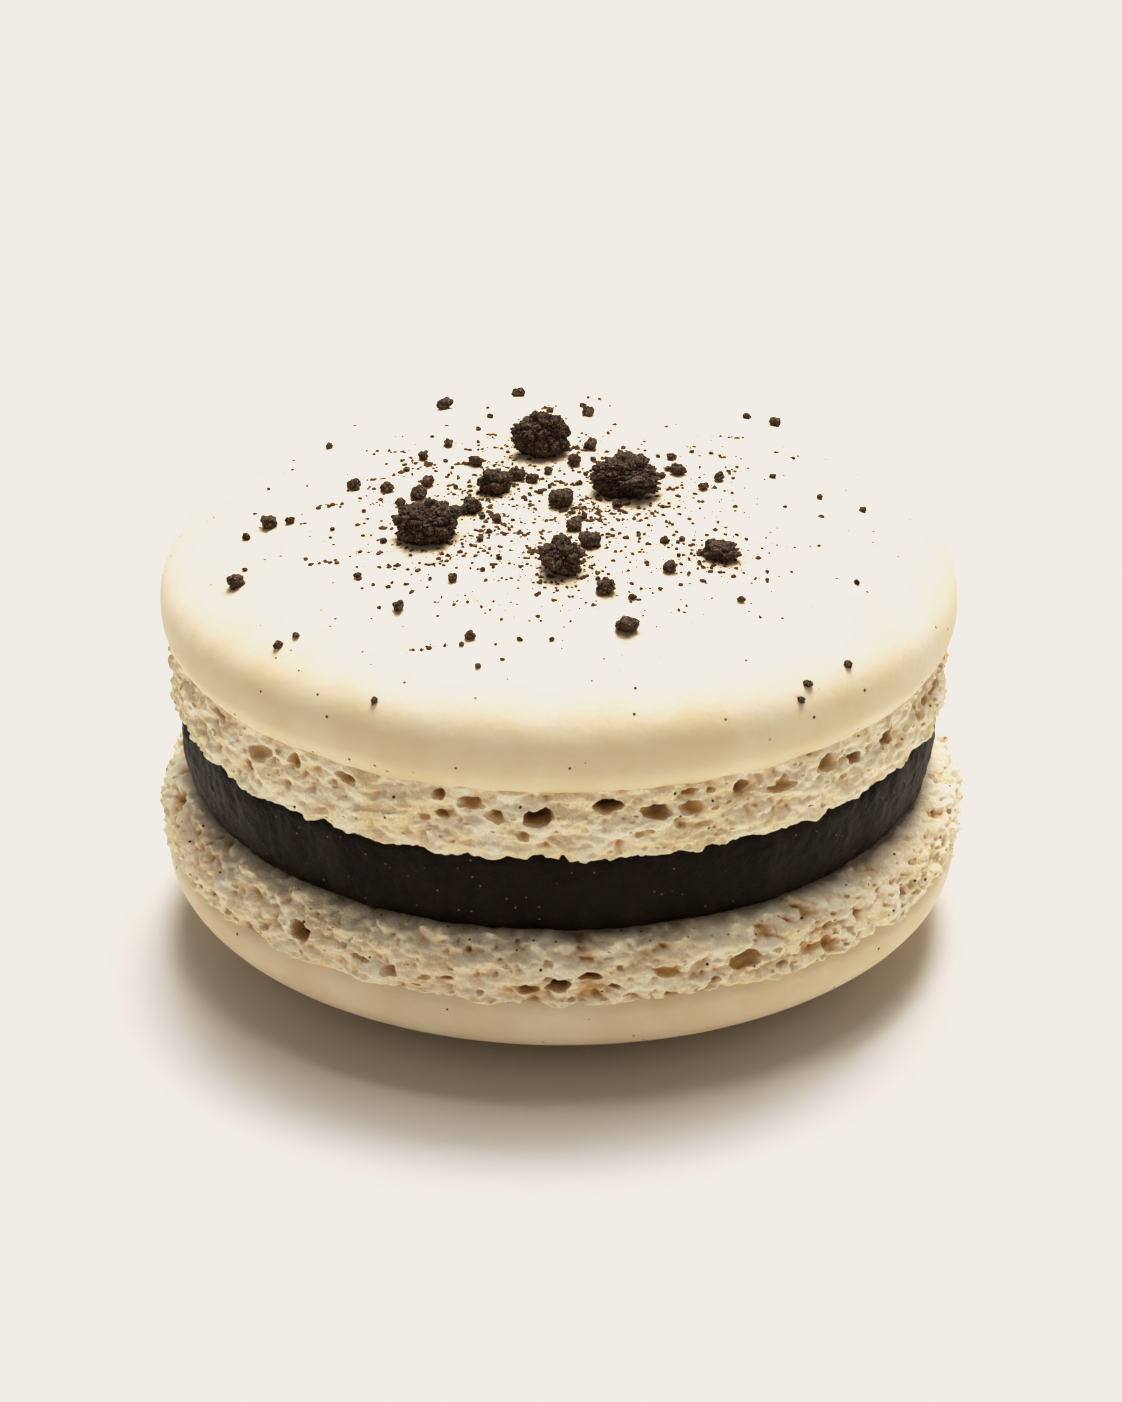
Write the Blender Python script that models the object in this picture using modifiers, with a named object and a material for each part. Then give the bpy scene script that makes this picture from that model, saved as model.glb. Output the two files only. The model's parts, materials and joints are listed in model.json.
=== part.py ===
"""Cookies and cream macaron: two domed meringue shells with ruffled feet, a dark filling between them,
and cookie crumbs baked onto the upper shell. Metres, +Z up, the origin under the middle of the biscuit."""

import math
import random

import bmesh
import bpy
from mathutils import Matrix, Vector, noise

# Sizes that drive the rest
UPPER_SHELL_RADIUS = 0.0224
LOWER_SHELL_RADIUS = 0.0225
UPPER_CAP_HEIGHT = 0.0073
LOWER_CAP_HEIGHT = 0.0063
UPPER_FOOT_HEIGHT = 0.0041
LOWER_FOOT_HEIGHT = 0.0033
FILLING_HEIGHT = 0.0044
FILLING_RADIUS = 0.02155
CLEARANCE = 0.0003

# Heights above the surface that it rests on, and how far the upper layers slid to the left
LOWER_FOOT_TOP = LOWER_CAP_HEIGHT + LOWER_FOOT_HEIGHT
FILLING_LOW = LOWER_FOOT_TOP + CLEARANCE
UPPER_FOOT_LOW = FILLING_LOW + FILLING_HEIGHT + CLEARANCE
UPPER_LAYERS_SHIFT = -0.0002

# Form of a cap: a flat-topped dome, widest a little above its edge
UPPER_DOME_POWER = 2.7
LOWER_DOME_POWER = 2.25
WIDEST_SHARE = 0.15
EDGE_TUCK = 0.0003
RESTING_SPOT_RADIUS = 0.0112
TOP_FACET_RADIUS = 0.0013
DOME_RINGS = 11

# Form of a foot, the frill that the rising meringue pushes out under the cap: radius of its lip, of its
# widest ring and of the neck under the cap, and the share of its height where it is widest
UPPER_FOOT = (0.0214, 0.0218, 0.0214, 0.3)
LOWER_FOOT = (0.0208, 0.02285, 0.0222, 0.58)
FOOT_RINGS = 6
FOOT_SEAM = 0.0001
INNER_FACE_RADIUS = 0.0185

# Relief
SEGMENTS = 104
LUMP_DEPTH = 0.00022
LUMP_LENGTH = 0.0024
CAP_WAVE_DEPTH = 0.00012
CAP_WAVE_LENGTH = 0.013
FILLING_WAVE_DEPTH = 0.00018
FILLING_WAVE_LENGTH = 0.004
FILLING_RINGS = 6
FILLING_ROUNDING = 0.0005
FILLING_TUCK = 0.0008
MERGE = 0.00001
SHARP_EDGE = math.radians(50)

# Pores in a foot: degrees round from the front (+ to the right), share of the foot's height, width, depth
UPPER_PORES = (
    (-38, 0.75, 0.0018, 0.0006),
    (-15, 0.65, 0.0019, 0.0006),
    (-5, 0.45, 0.0020, 0.0007),
    (6, 0.70, 0.0020, 0.0009),
    (15, 0.60, 0.0021, 0.0007),
    (24, 0.60, 0.0020, 0.0006),
    (36, 0.75, 0.0020, 0.0006),
    (48, 0.70, 0.0020, 0.0005),
)
LOWER_PORES = (
    (-44, 0.40, 0.0020, 0.0008),
    (-17, 0.30, 0.0017, 0.0006),
    (-4, 0.45, 0.0021, 0.0008),
    (5, 0.40, 0.0020, 0.0007),
    (14, 0.35, 0.0019, 0.0005),
    (29, 0.45, 0.0021, 0.0006),
)
PORE_HEIGHT_SHARE = 0.6
PORE_STEEPNESS = 2.0

# Pores round the back: where they start, how many, and the range of each of their measures
FIRST_HIDDEN_ANGLE = 64
PORES_ROUND_THE_BACK = 13
HIDDEN_PLACE = (0.2, 0.8)
HIDDEN_LEVEL = (0.4, 0.75)
HIDDEN_WIDTH = (0.0014, 0.0021)
HIDDEN_DEPTH = (0.0004, 0.0008)

# Cookie crumbs that stand up from the cap: to the right, to the back, width, depth and height
LARGE_CRUMBS = (
    (-0.0011, 0.0059, 0.0035, 0.0031, 0.0025),
    (0.0038, 0.0004, 0.0043, 0.0034, 0.0023),
    (-0.0072, -0.0053, 0.0040, 0.0034, 0.0023),
    (0.0001, -0.0096, 0.0027, 0.0026, 0.0020),
    (-0.0036, 0.0005, 0.0021, 0.0019, 0.0014),
    (0.0088, -0.0075, 0.0023, 0.0018, 0.0010),
    (0.0002, -0.0015, 0.0017, 0.0014, 0.0010),
    (-0.0049, -0.0022, 0.0013, 0.0012, 0.0009),
    (0.0036, -0.0154, 0.0012, 0.0013, 0.0008),
    (0.0025, -0.0118, 0.0011, 0.0011, 0.0008),
    (-0.0161, -0.0020, 0.0010, 0.0010, 0.0007),
    (-0.0176, -0.0078, 0.0010, 0.0009, 0.0007),
)
CRUMB_SINK = 0.3
CRUMB_ROUGHNESS = 0.22
CRUMB_LUMPS = 1.7
CRUMB_TURN = (-0.5, 0.5)

# Smaller crumbs, scattered over the middle of the cap: their shares of width are for depth and for height
SMALL_CRUMBS = 22
SMALL_CRUMB_WIDTH = (0.0007, 0.0010)
SMALL_CRUMB_DEPTH = 0.9
SMALL_CRUMB_HEIGHT = 0.7
SCATTER_CENTRE = -0.001
SCATTER_SPREAD = 0.0088
SCATTER_REACH = 0.019
FINE_CRUMB_WIDTH = 0.0015

# Finishes
CREAM_SHELL = (0.80, 0.71, 0.56, 1.0)
SHELL_ROUGHNESS = 0.6
DARK_FILLING = (0.018, 0.011, 0.007, 1.0)
FILLING_ROUGHNESS = 0.5


def material(name, colour, roughness):
    made = bpy.data.materials.new(name)
    made.use_nodes = True
    shader = made.node_tree.nodes["Principled BSDF"]
    shader.inputs["Base Color"].default_value = colour
    shader.inputs["Roughness"].default_value = roughness
    shader.inputs["Metallic"].default_value = 0.0
    return made


def baked(obj, name):
    """The object as its modifiers leave it, as a plain mesh object that takes its place."""
    graph = bpy.context.evaluated_depsgraph_get()
    made = bpy.data.objects.new(name, bpy.data.meshes.new_from_object(obj.evaluated_get(graph)))
    for collection in list(obj.users_collection):
        collection.objects.link(made)
    bpy.data.objects.remove(obj)
    return made


def turned(name, profile, collection):
    """A closed solid turned round Z from a profile that starts and ends on the axis, top first."""
    mesh = bpy.data.meshes.new(name)
    points = [(radius, 0.0, height) for radius, height in profile]
    mesh.from_pydata(points, [(i, i + 1) for i in range(len(points) - 1)], [])
    obj = bpy.data.objects.new(name + "_profile", mesh)
    collection.objects.link(obj)
    screw = obj.modifiers.new("turn", "SCREW")
    screw.steps = SEGMENTS
    screw.render_steps = SEGMENTS
    screw.use_merge_vertices = True
    screw.merge_threshold = MERGE
    bpy.context.view_layer.update()
    return baked(obj, name)


def dome(radius, height, flat_radius, power):
    """(radius, height above its edge) of a cap, from its edge to the rim of its flat top."""
    widest = WIDEST_SHARE * height
    last = math.acos((flat_radius / radius) ** (power / 2))
    points = [(radius - EDGE_TUCK, 0.0), (radius - EDGE_TUCK / 4, widest / 2)]
    for ring in range(DOME_RINGS):
        turn = last * ring / (DOME_RINGS - 1)
        across = radius * math.cos(turn) ** (2 / power)
        up = (math.sin(turn) / math.sin(last)) ** (2 / power)
        points.append((across, widest + (height - widest) * up))
    return points


def foot(height, form):
    """(radius, height above its lip) of a foot, from its lip up to just under the cap's edge."""
    lip, widest, neck, level = form
    points = [(INNER_FACE_RADIUS, 0.0), (lip, 0.0)]
    for ring in range(1, FOOT_RINGS + 1):
        share = ring / FOOT_RINGS
        away = share / level - 1 if share < level else (share - level) / (1 - level)
        start = lip if share < level else neck
        across = start + (widest - start) * math.sqrt(1 - away * away)
        points.append((across, height * share))
    points[-1] = (neck, height - FOOT_SEAM)
    return points


def pore_depth(angle, share, foot_height, pores):
    """How far the pores push the foot in at an angle round it and a share of its height."""
    deepest = 0.0
    for place, level, width, depth in pores:
        around = math.remainder(angle - math.radians(place), 2 * math.pi) * UPPER_SHELL_RADIUS
        along = (share - level) * foot_height
        away = math.hypot(around / width, along / (PORE_HEIGHT_SHARE * width))
        deepest = max(deepest, depth * math.exp(-PORE_STEEPNESS * away * away))
    return deepest


def with_hidden_pores(pores, seed):
    """The pores that show, and others like them round the back."""
    draw = random.Random(seed)
    step = (360 - 2 * FIRST_HIDDEN_ANGLE) / PORES_ROUND_THE_BACK
    more = []
    for i in range(PORES_ROUND_THE_BACK):
        place = FIRST_HIDDEN_ANGLE + step * (i + draw.uniform(*HIDDEN_PLACE))
        level = draw.uniform(*HIDDEN_LEVEL)
        more.append((place, level, draw.uniform(*HIDDEN_WIDTH), draw.uniform(*HIDDEN_DEPTH)))
    return pores + tuple(more)


def rough_shell(obj, foot_height, pores, seed):
    """Works the foot's lumps and pores and the cap's faint waves into a shell that stands on its lip."""
    offset = Vector((seed, 0.0, 0.0))
    for vertex in obj.data.vertices:
        radius = math.hypot(vertex.co.x, vertex.co.y)
        share = vertex.co.z / foot_height
        outward = Vector((vertex.co.x, vertex.co.y, 0.0)).normalized()
        if share < 1 and radius > INNER_FACE_RADIUS + MERGE:
            angle = math.atan2(vertex.co.x, -vertex.co.y)
            lump = LUMP_DEPTH * noise.noise(vertex.co / LUMP_LENGTH + offset)
            vertex.co += outward * (lump - pore_depth(angle, share, foot_height, pores))
        elif share >= 1 and radius > RESTING_SPOT_RADIUS + MERGE:
            vertex.co += outward * CAP_WAVE_DEPTH * noise.noise(vertex.co / CAP_WAVE_LENGTH + offset)


def cap_height(x, y):
    """Height of the upper cap's surface above its foot's lip, at a place on it."""
    share = min(math.hypot(x, y) / UPPER_SHELL_RADIUS, 1.0)
    widest = WIDEST_SHARE * UPPER_CAP_HEIGHT
    rise = (UPPER_CAP_HEIGHT - widest) * (1 - share**UPPER_DOME_POWER) ** (1 / UPPER_DOME_POWER)
    return UPPER_FOOT_HEIGHT + widest + rise


def crumb(x, y, width, depth, height, draw, collection):
    """One broken piece of cookie, sunk a little into the cap."""
    obj = bpy.data.objects.new("crumb", bpy.data.meshes.new("crumb"))
    shape = bmesh.new()
    bmesh.ops.create_icosphere(shape, subdivisions=1 if width < FINE_CRUMB_WIDTH else 2, radius=1.0)
    offset = Vector((draw.uniform(0, 50), draw.uniform(0, 50), draw.uniform(0, 50)))
    for vertex in shape.verts:
        vertex.co *= 1 + CRUMB_ROUGHNESS * noise.noise(CRUMB_LUMPS * vertex.co + offset)
    turn = Matrix.Rotation(draw.uniform(*CRUMB_TURN), 4, "Z")
    size = Matrix.Diagonal((width / 2, depth / 2, height * (1 + CRUMB_SINK) / 2, 1.0))
    bmesh.ops.transform(shape, matrix=turn @ size, verts=shape.verts)
    shape.to_mesh(obj.data)
    shape.free()
    obj.location = (x, y, cap_height(x, y) + height * (1 - CRUMB_SINK) / 2)
    collection.objects.link(obj)


def add_crumbs(shell):
    """Joins the crumbs that show from a step away to the cap, the largest where they lie in view."""
    crumbs = bpy.data.collections.new("crumbs")
    bpy.context.scene.collection.children.link(crumbs)
    draw = random.Random(7)
    for place in LARGE_CRUMBS:
        crumb(*place, draw, crumbs)
    taken = [(x, y, width / 2) for x, y, width, _, _ in LARGE_CRUMBS]
    while len(taken) < len(LARGE_CRUMBS) + SMALL_CRUMBS:
        x = draw.gauss(SCATTER_CENTRE, SCATTER_SPREAD)
        y = draw.gauss(0.0, SCATTER_SPREAD)
        width = draw.uniform(*SMALL_CRUMB_WIDTH)
        if math.hypot(x, y) > SCATTER_REACH:
            continue
        if any(math.hypot(x - a, y - b) < reach + width for a, b, reach in taken):
            continue
        crumb(x, y, width, SMALL_CRUMB_DEPTH * width, SMALL_CRUMB_HEIGHT * width, draw, crumbs)
        taken.append((x, y, width / 2))
    joined = shell.modifiers.new("crumbs", "BOOLEAN")
    joined.operation = "UNION"
    joined.operand_type = "COLLECTION"
    joined.collection = crumbs
    joined.solver = "EXACT"
    bpy.context.view_layer.update()
    shell = baked(shell, "top_shell")
    for obj in list(crumbs.objects):
        bpy.data.objects.remove(obj)
    bpy.data.collections.remove(crumbs)
    return shell


def shell_profile(cap, foot_height, foot_form):
    """The whole profile of a shell that stands cap up on its foot's lip, from the axis and back to it."""
    outside = foot(foot_height, foot_form) + [(across, foot_height + up) for across, up in cap]
    return [(0.0, outside[-1][1])] + outside[::-1] + [(0.0, 0.0)]


def bottom_shell(collection):
    """The lower shell lies cap down, on the flat spot in the middle of its dome."""
    cap = dome(LOWER_SHELL_RADIUS, LOWER_CAP_HEIGHT, RESTING_SPOT_RADIUS, LOWER_DOME_POWER)
    profile = shell_profile(cap, LOWER_FOOT_HEIGHT, LOWER_FOOT)
    shell = turned("bottom_shell", profile, collection)
    rough_shell(shell, LOWER_FOOT_HEIGHT, with_hidden_pores(LOWER_PORES, 3), 11.0)
    over = Matrix.Translation((0.0, 0.0, LOWER_FOOT_TOP)) @ Matrix.Diagonal((1.0, 1.0, -1.0, 1.0))
    shell.data.transform(over)
    shell.data.flip_normals()
    return shell


def top_shell(collection):
    """The upper shell stands on its foot, with the crumbs on its cap."""
    cap = dome(UPPER_SHELL_RADIUS, UPPER_CAP_HEIGHT, TOP_FACET_RADIUS, UPPER_DOME_POWER)
    profile = shell_profile(cap, UPPER_FOOT_HEIGHT, UPPER_FOOT)
    shell = turned("top_shell_plain", profile, collection)
    rough_shell(shell, UPPER_FOOT_HEIGHT, with_hidden_pores(UPPER_PORES, 5), 29.0)
    shell = add_crumbs(shell)
    shell.data.transform(Matrix.Translation((UPPER_LAYERS_SHIFT, 0.0, UPPER_FOOT_LOW)))
    return shell


def filling(collection):
    """The filling runs right through, with a side that bulges and tucks in towards the lower shell."""
    profile = [(0.0, FILLING_HEIGHT)]
    for ring in range(FILLING_RINGS + 1):
        share = 1 - ring / FILLING_RINGS
        tuck = FILLING_TUCK * (1 - share) ** 2
        rounding = FILLING_ROUNDING * abs(2 * share - 1) ** 6
        profile.append((FILLING_RADIUS - tuck - rounding, FILLING_HEIGHT * share))
    disc = turned("filling", profile + [(0.0, 0.0)], collection)
    for vertex in disc.data.vertices:
        if MERGE < vertex.co.z < FILLING_HEIGHT - MERGE:
            outward = Vector((vertex.co.x, vertex.co.y, 0.0)).normalized()
            vertex.co += outward * FILLING_WAVE_DEPTH * noise.noise(vertex.co / FILLING_WAVE_LENGTH)
    disc.data.transform(Matrix.Translation((UPPER_LAYERS_SHIFT, 0.0, FILLING_LOW)))
    return disc


def main():
    for obj in list(bpy.data.objects):
        bpy.data.objects.remove(obj)
    macaron = bpy.data.collections.new("cookies_and_cream_macaron")
    bpy.context.scene.collection.children.link(macaron)
    meringue = material("baked almond meringue", CREAM_SHELL, SHELL_ROUGHNESS)
    dark = material("dark cocoa filling", DARK_FILLING, FILLING_ROUGHNESS)
    pieces = (
        (bottom_shell(macaron), meringue),
        (filling(macaron), dark),
        (top_shell(macaron), meringue),
    )
    for obj, finish in pieces:
        obj.data.materials.clear()
        obj.data.materials.append(finish)
        obj.data.shade_smooth()
        obj.data.set_sharp_from_angle(angle=SHARP_EDGE)


main()
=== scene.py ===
"""Looks of the cookies and cream macaron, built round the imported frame. Metres, +Z up."""

import json
import math
import random

import bmesh
import bpy
from mathutils import Matrix, Vector, kdtree, noise

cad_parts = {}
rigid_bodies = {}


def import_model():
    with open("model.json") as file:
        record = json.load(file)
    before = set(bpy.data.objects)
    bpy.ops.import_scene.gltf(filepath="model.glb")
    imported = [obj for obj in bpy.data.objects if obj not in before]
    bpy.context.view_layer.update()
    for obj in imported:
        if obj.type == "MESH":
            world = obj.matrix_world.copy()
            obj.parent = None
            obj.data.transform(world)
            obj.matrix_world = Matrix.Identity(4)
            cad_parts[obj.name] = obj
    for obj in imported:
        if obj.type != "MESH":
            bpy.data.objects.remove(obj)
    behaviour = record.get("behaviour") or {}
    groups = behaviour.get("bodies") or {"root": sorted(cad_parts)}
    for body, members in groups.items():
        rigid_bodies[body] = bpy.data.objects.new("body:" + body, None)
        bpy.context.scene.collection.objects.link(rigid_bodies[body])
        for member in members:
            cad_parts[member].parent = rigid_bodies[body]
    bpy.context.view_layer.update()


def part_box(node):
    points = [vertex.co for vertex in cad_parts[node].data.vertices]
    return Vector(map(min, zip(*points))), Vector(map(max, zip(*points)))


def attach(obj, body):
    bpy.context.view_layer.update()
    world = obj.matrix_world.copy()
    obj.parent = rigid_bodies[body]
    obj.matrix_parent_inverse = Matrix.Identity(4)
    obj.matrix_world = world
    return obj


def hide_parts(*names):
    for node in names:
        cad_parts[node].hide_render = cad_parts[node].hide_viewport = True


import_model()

# Lower meringue shell, its cap
# Almond meringue piped as a round and baked cap up, then turned over, so that its smooth skin is underneath.
# The skin dries before baking, which keeps it matt, smooth and pale.
MM = 0.001
LOWER_CAP_RADIUS = 22.6 * MM
LOWER_CAP_HEIGHT = 6.3 * MM
LOWER_DOME_POWER = 2.25
LOWER_WIDEST = 0.9 * MM
LOWER_CAP_TUCK = 0.35 * MM
RESTING_SPOT_RADIUS = 11.2 * MM
SECTORS = 24
MERGE_WITHIN = MM / 1000
CAP_SEGMENTS = 480
LOWER_CAP_RINGS = 60
EDGE_RINGS = 8
EDGE_ROUNDING = 2.2
LOWER_CAP_SEED = 3

# Unevenness of a cap, as depth and length, and how much of it goes upwards in the middle
CAP_WAVE = (0.10 * MM, 12 * MM)
CAP_RIPPLE = (0.025 * MM, 2.2 * MM)
EDGE_SCALLOP = (0.16 * MM, 1.7 * MM)
SCALLOP_REACH = 1.0 * MM
SCALLOP_BAND = 2 * MM
UPWARD_SHARE = 0.4

# Colours and the real sizes of their patterns. A pair of limits is where a pattern starts and is full.
SKIN_COLOURS = ("F0DFC3", "E9D4B1")
SKIN_MOTTLE = 4.0 * MM
SKIN_PATCHES = (0.35, 0.65)
SKIN_GRAIN = 0.5 * MM
SPECK_COLOUR = "4A3222"
SPECK_SPACING = 0.8 * MM
SPECK_EDGE = (0.13, 0.10)
SPECKED_CELLS = (0.64, 0.66)
# The smudge colour is partly brown dust from the crumbs and partly their painted contact shadow
SMUDGE_AND_SHADOW_COLOUR = "A9825C"
SMUDGE_AND_SHADOW_PATCHES = (0.40, 0.75)
SOFT_MERINGUE = (0.8, 0.5, 0.25)


def colour(code):
    """Linear colour of an sRGB hex code."""
    parts = [int(code[i : i + 2], 16) / 255 for i in (0, 2, 4)]
    return tuple(c / 12.92 if c <= 0.04045 else ((c + 0.055) / 1.055) ** 2.4 for c in parts) + (1.0,)


def add(material, kind, made, output=None):
    """Adds a node. Lower-case names are its settings, the rest are sockets with a value or a link."""
    node = material.node_tree.nodes.new("ShaderNode" + kind)
    settings = [name for name in made if isinstance(name, str) and name[0].islower()]
    for name in settings:
        setattr(node, name, made[name])
    for name, value in made.items():
        if name in settings:
            continue
        if isinstance(value, bpy.types.NodeSocket):
            material.node_tree.links.new(value, node.inputs[name])
        else:
            node.inputs[name].default_value = value
    if output:
        return node.outputs[output]
    return next((socket for socket in node.outputs if socket.enabled), None)


def new_material(name):
    material = bpy.data.materials.new(name)
    material.use_nodes = True
    material.node_tree.nodes.clear()
    return material


def specks_of_cookie(material, place, base):
    """Lays dark specks of ground cookie, a fifth of a millimetre across, over a colour."""
    cells = add(material, "TexVoronoi", {"Vector": place, "Scale": 1 / SPECK_SPACING}, "Distance")
    near = add(material, "MapRange", {"Value": cells, 1: SPECK_EDGE[0], 2: SPECK_EDGE[1]})
    lottery = cells.node.outputs["Color"]
    chosen = add(material, "MapRange", {"Value": lottery, 1: SPECKED_CELLS[0], 2: SPECKED_CELLS[1]})
    both = add(material, "Math", {"operation": "MULTIPLY", 0: near, 1: chosen})
    return add(material, "Mix", {"data_type": "RGBA", 0: both, 6: base, 7: colour(SPECK_COLOUR)})


def meringue_skin():
    """Dried and baked almond meringue: matt eggshell, faintly mottled, and smudged by the crumbs on it, with
    painted shadow round them.
    """
    material = new_material("baked meringue skin")
    place = add(material, "TexCoord", {}, "Object")
    mottle = add(material, "TexNoise", {"Vector": place, "Scale": 1 / SKIN_MOTTLE, "Detail": 3.0})
    grain = add(material, "TexNoise", {"Vector": place, "Scale": 1 / SKIN_GRAIN, "Detail": 4.0})
    patches = add(material, "MapRange", {"Value": mottle, 1: SKIN_PATCHES[0], 2: SKIN_PATCHES[1]})
    pale, browner = (colour(code) for code in SKIN_COLOURS)
    base = add(material, "Mix", {"data_type": "RGBA", 0: patches, 6: pale, 7: browner})
    # Painted shadow: the skin is tinted brown round the crumbs, partly smudge and partly their painted
    # contact shadow
    dusted_and_shaded = add(material, "Attribute", {"attribute_name": "dusted_and_shaded"}, "Fac")
    uneven = add(material, "MapRange", {"Value": grain, 1: SMUDGE_AND_SHADOW_PATCHES[0], 2: SMUDGE_AND_SHADOW_PATCHES[1]})
    smudge_and_shadow = add(material, "Math", {"operation": "MULTIPLY", 0: dusted_and_shaded, 1: uneven})
    base = add(material, "Mix", {"data_type": "RGBA", 0: smudge_and_shadow, 6: base, 7: colour(SMUDGE_AND_SHADOW_COLOUR)})
    base = specks_of_cookie(material, place, base)
    height = add(material, "Math", {"operation": "ADD", 0: mottle, 1: grain})
    normal = add(material, "Bump", {"Height": height, "Strength": 0.4, "Distance": 0.06 * MM})
    skin_sockets = {"Base Color": base, "Normal": normal, "Roughness": 0.55, "Specular IOR Level": 0.4}
    soft_sockets = {"Subsurface Weight": 0.25, "Subsurface Radius": SOFT_MERINGUE, "Subsurface Scale": MM}
    shader = add(material, "BsdfPrincipled", skin_sockets | soft_sockets)
    add(material, "OutputMaterial", {"Surface": shader})
    return material


def spun(profile, segments):
    """A bmesh turned round Z from a profile of (radius, height) points: one sector, then copies of it."""
    shape = bmesh.new()
    corners = [shape.verts.new((radius, 0.0, height)) for radius, height in profile]
    edges = [shape.edges.new(pair) for pair in zip(corners, corners[1:])]
    if profile[0][0] > 0:
        edges.append(shape.edges.new((corners[-1], corners[0])))
    sector = 2 * math.pi / SECTORS
    axis = {"cent": (0, 0, 0), "axis": (0, 0, 1)}
    bmesh.ops.spin(shape, geom=corners + edges, angle=sector, steps=segments // SECTORS, **axis)
    whole = shape.verts[:] + shape.edges[:] + shape.faces[:]
    copies = SECTORS - 1
    bmesh.ops.spin(shape, geom=whole, angle=copies * sector, steps=copies, use_duplicate=True, **axis)
    bmesh.ops.remove_doubles(shape, verts=shape.verts, dist=MERGE_WITHIN)
    bmesh.ops.recalc_face_normals(shape, faces=shape.faces)
    return shape


def piece(name, shape, material, smooth_angle=60):
    """An object from a bmesh, at the origin."""
    mesh = bpy.data.meshes.new(name)
    shape.to_mesh(mesh)
    shape.free()
    obj = bpy.data.objects.new(name, mesh)
    bpy.context.scene.collection.objects.link(obj)
    mesh.materials.append(material)
    mesh.shade_smooth()
    mesh.set_sharp_from_angle(angle=math.radians(smooth_angle))
    return obj


def dome(radius, height, power, tuck, widest, rings, flat_radius=0.0):
    """(radius, height above its edge) of a cap, from its edge to its flat top."""
    last = math.acos((flat_radius / radius) ** (power / 2))
    points = []
    for ring in range(EDGE_RINGS):
        share = ring / EDGE_RINGS
        points.append((radius - tuck * (1 - share) ** EDGE_ROUNDING, widest * share))
    for ring in range(rings):
        turn = last * ring / (rings - 1)
        across = radius * max(math.cos(turn), 0.0) ** (2 / power)
        up = (math.sin(turn) / math.sin(last)) ** (2 / power)
        points.append((across, widest + (height - widest) * up))
    return points


def uneven_cap(shape, seed, edge_height, keep_flat=0.0):
    """Works faint waves into a cap, out from the axis, and small scallops into its skin's edge."""
    offset = Vector((seed, 2 * seed, 0.0))
    for vertex in shape.verts:
        across = Vector((vertex.co.x, vertex.co.y, 0.0))
        if across.length <= keep_flat:
            continue
        place = vertex.co.copy()
        upwards = UPWARD_SHARE * (1 - across.length / LOWER_CAP_RADIUS)
        out = across.normalized() + Vector((0.0, 0.0, upwards))
        for depth, length in (CAP_WAVE, CAP_RIPPLE):
            vertex.co += out * depth * noise.noise(place / length + offset)
        from_edge = abs(place.z - edge_height) / SCALLOP_REACH
        if from_edge < 1 and across.length > LOWER_CAP_RADIUS - SCALLOP_BAND:
            depth, length = EDGE_SCALLOP
            vertex.co.z += depth * (1 - from_edge) * noise.noise(across / length + offset)


skin = meringue_skin()
lower_dome = dome(
    LOWER_CAP_RADIUS,
    LOWER_CAP_HEIGHT,
    LOWER_DOME_POWER,
    LOWER_CAP_TUCK,
    LOWER_WIDEST,
    LOWER_CAP_RINGS,
    RESTING_SPOT_RADIUS,
)
lower_profile = [(across, LOWER_CAP_HEIGHT - up) for across, up in lower_dome]
lower_cap_shape = spun([(0.0, LOWER_CAP_HEIGHT)] + lower_profile + [(0.0, 0.0)], CAP_SEGMENTS)
uneven_cap(lower_cap_shape, LOWER_CAP_SEED, LOWER_CAP_HEIGHT, RESTING_SPOT_RADIUS)
lower_cap = piece("lower_cap", lower_cap_shape, skin)
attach(lower_cap, "root")
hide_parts("bottom_shell")

# Lower meringue shell, its foot
# The frill that rises under the skin as the shell bakes: bubbly meringue that has spread out and set, paler
# and drier than the skin, with burst bubbles along the skin's edge and soft crags above them.
FOOT_SEGMENTS = 960
FOOT_ROWS = 58
FOOT_INNER_RADIUS = 20.0 * MM
SMOOTH_INSIDE = 0.3 * MM
LOWER_FOOT_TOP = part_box("bottom_shell")[1][2]
CAP_OVERLAP = 0.2 * MM
LOWER_NECK_HEIGHT = LOWER_CAP_HEIGHT - CAP_OVERLAP
LOWER_FOOT_LIP = 20.7 * MM
LOWER_FOOT_RADIUS = 22.75 * MM
LOWER_FOOT_NECK = 22.35 * MM
LOWER_FOOT_WIDEST = 0.58
LOWER_FOOT_SEED = 17
LOWER_BUBBLE_SEED = 5

# Colours, the sizes of their patterns, and how deep a hollow is where its amber, partly browning and partly
# painted glow, and its brown painted shade start and are full
FOOT_COLOURS = ("FBEDD3", "F3DDB4", "FEF9EE")
FOOT_MOTTLE = 1.6 * MM
FOOT_PATCHES = (0.38, 0.62)
FOOT_GRAIN = 0.16 * MM
# The near white is partly chalky meringue and partly painted highlight on the crags
CHALKY_GRAINS_AND_HIGHLIGHTS = (0.50, 0.75)
PORE_BROWNING_AND_SHADE_COLOURS = ("CDA264", "4E3212")
SHALLOW_PORE_BROWNING_AND_GLOW = (0.06, 0.24)
DEEP_PORE_SHADE = (0.24, 0.50)
# Browner along the lip by the filling: partly cocoa stain, partly painted shade where foot and filling meet
STAIN_AND_SHADE_COLOUR = "8C6A48"
STAIN_AND_SHADE_RADIUS = (21.3 * MM, 20.5 * MM)

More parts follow.
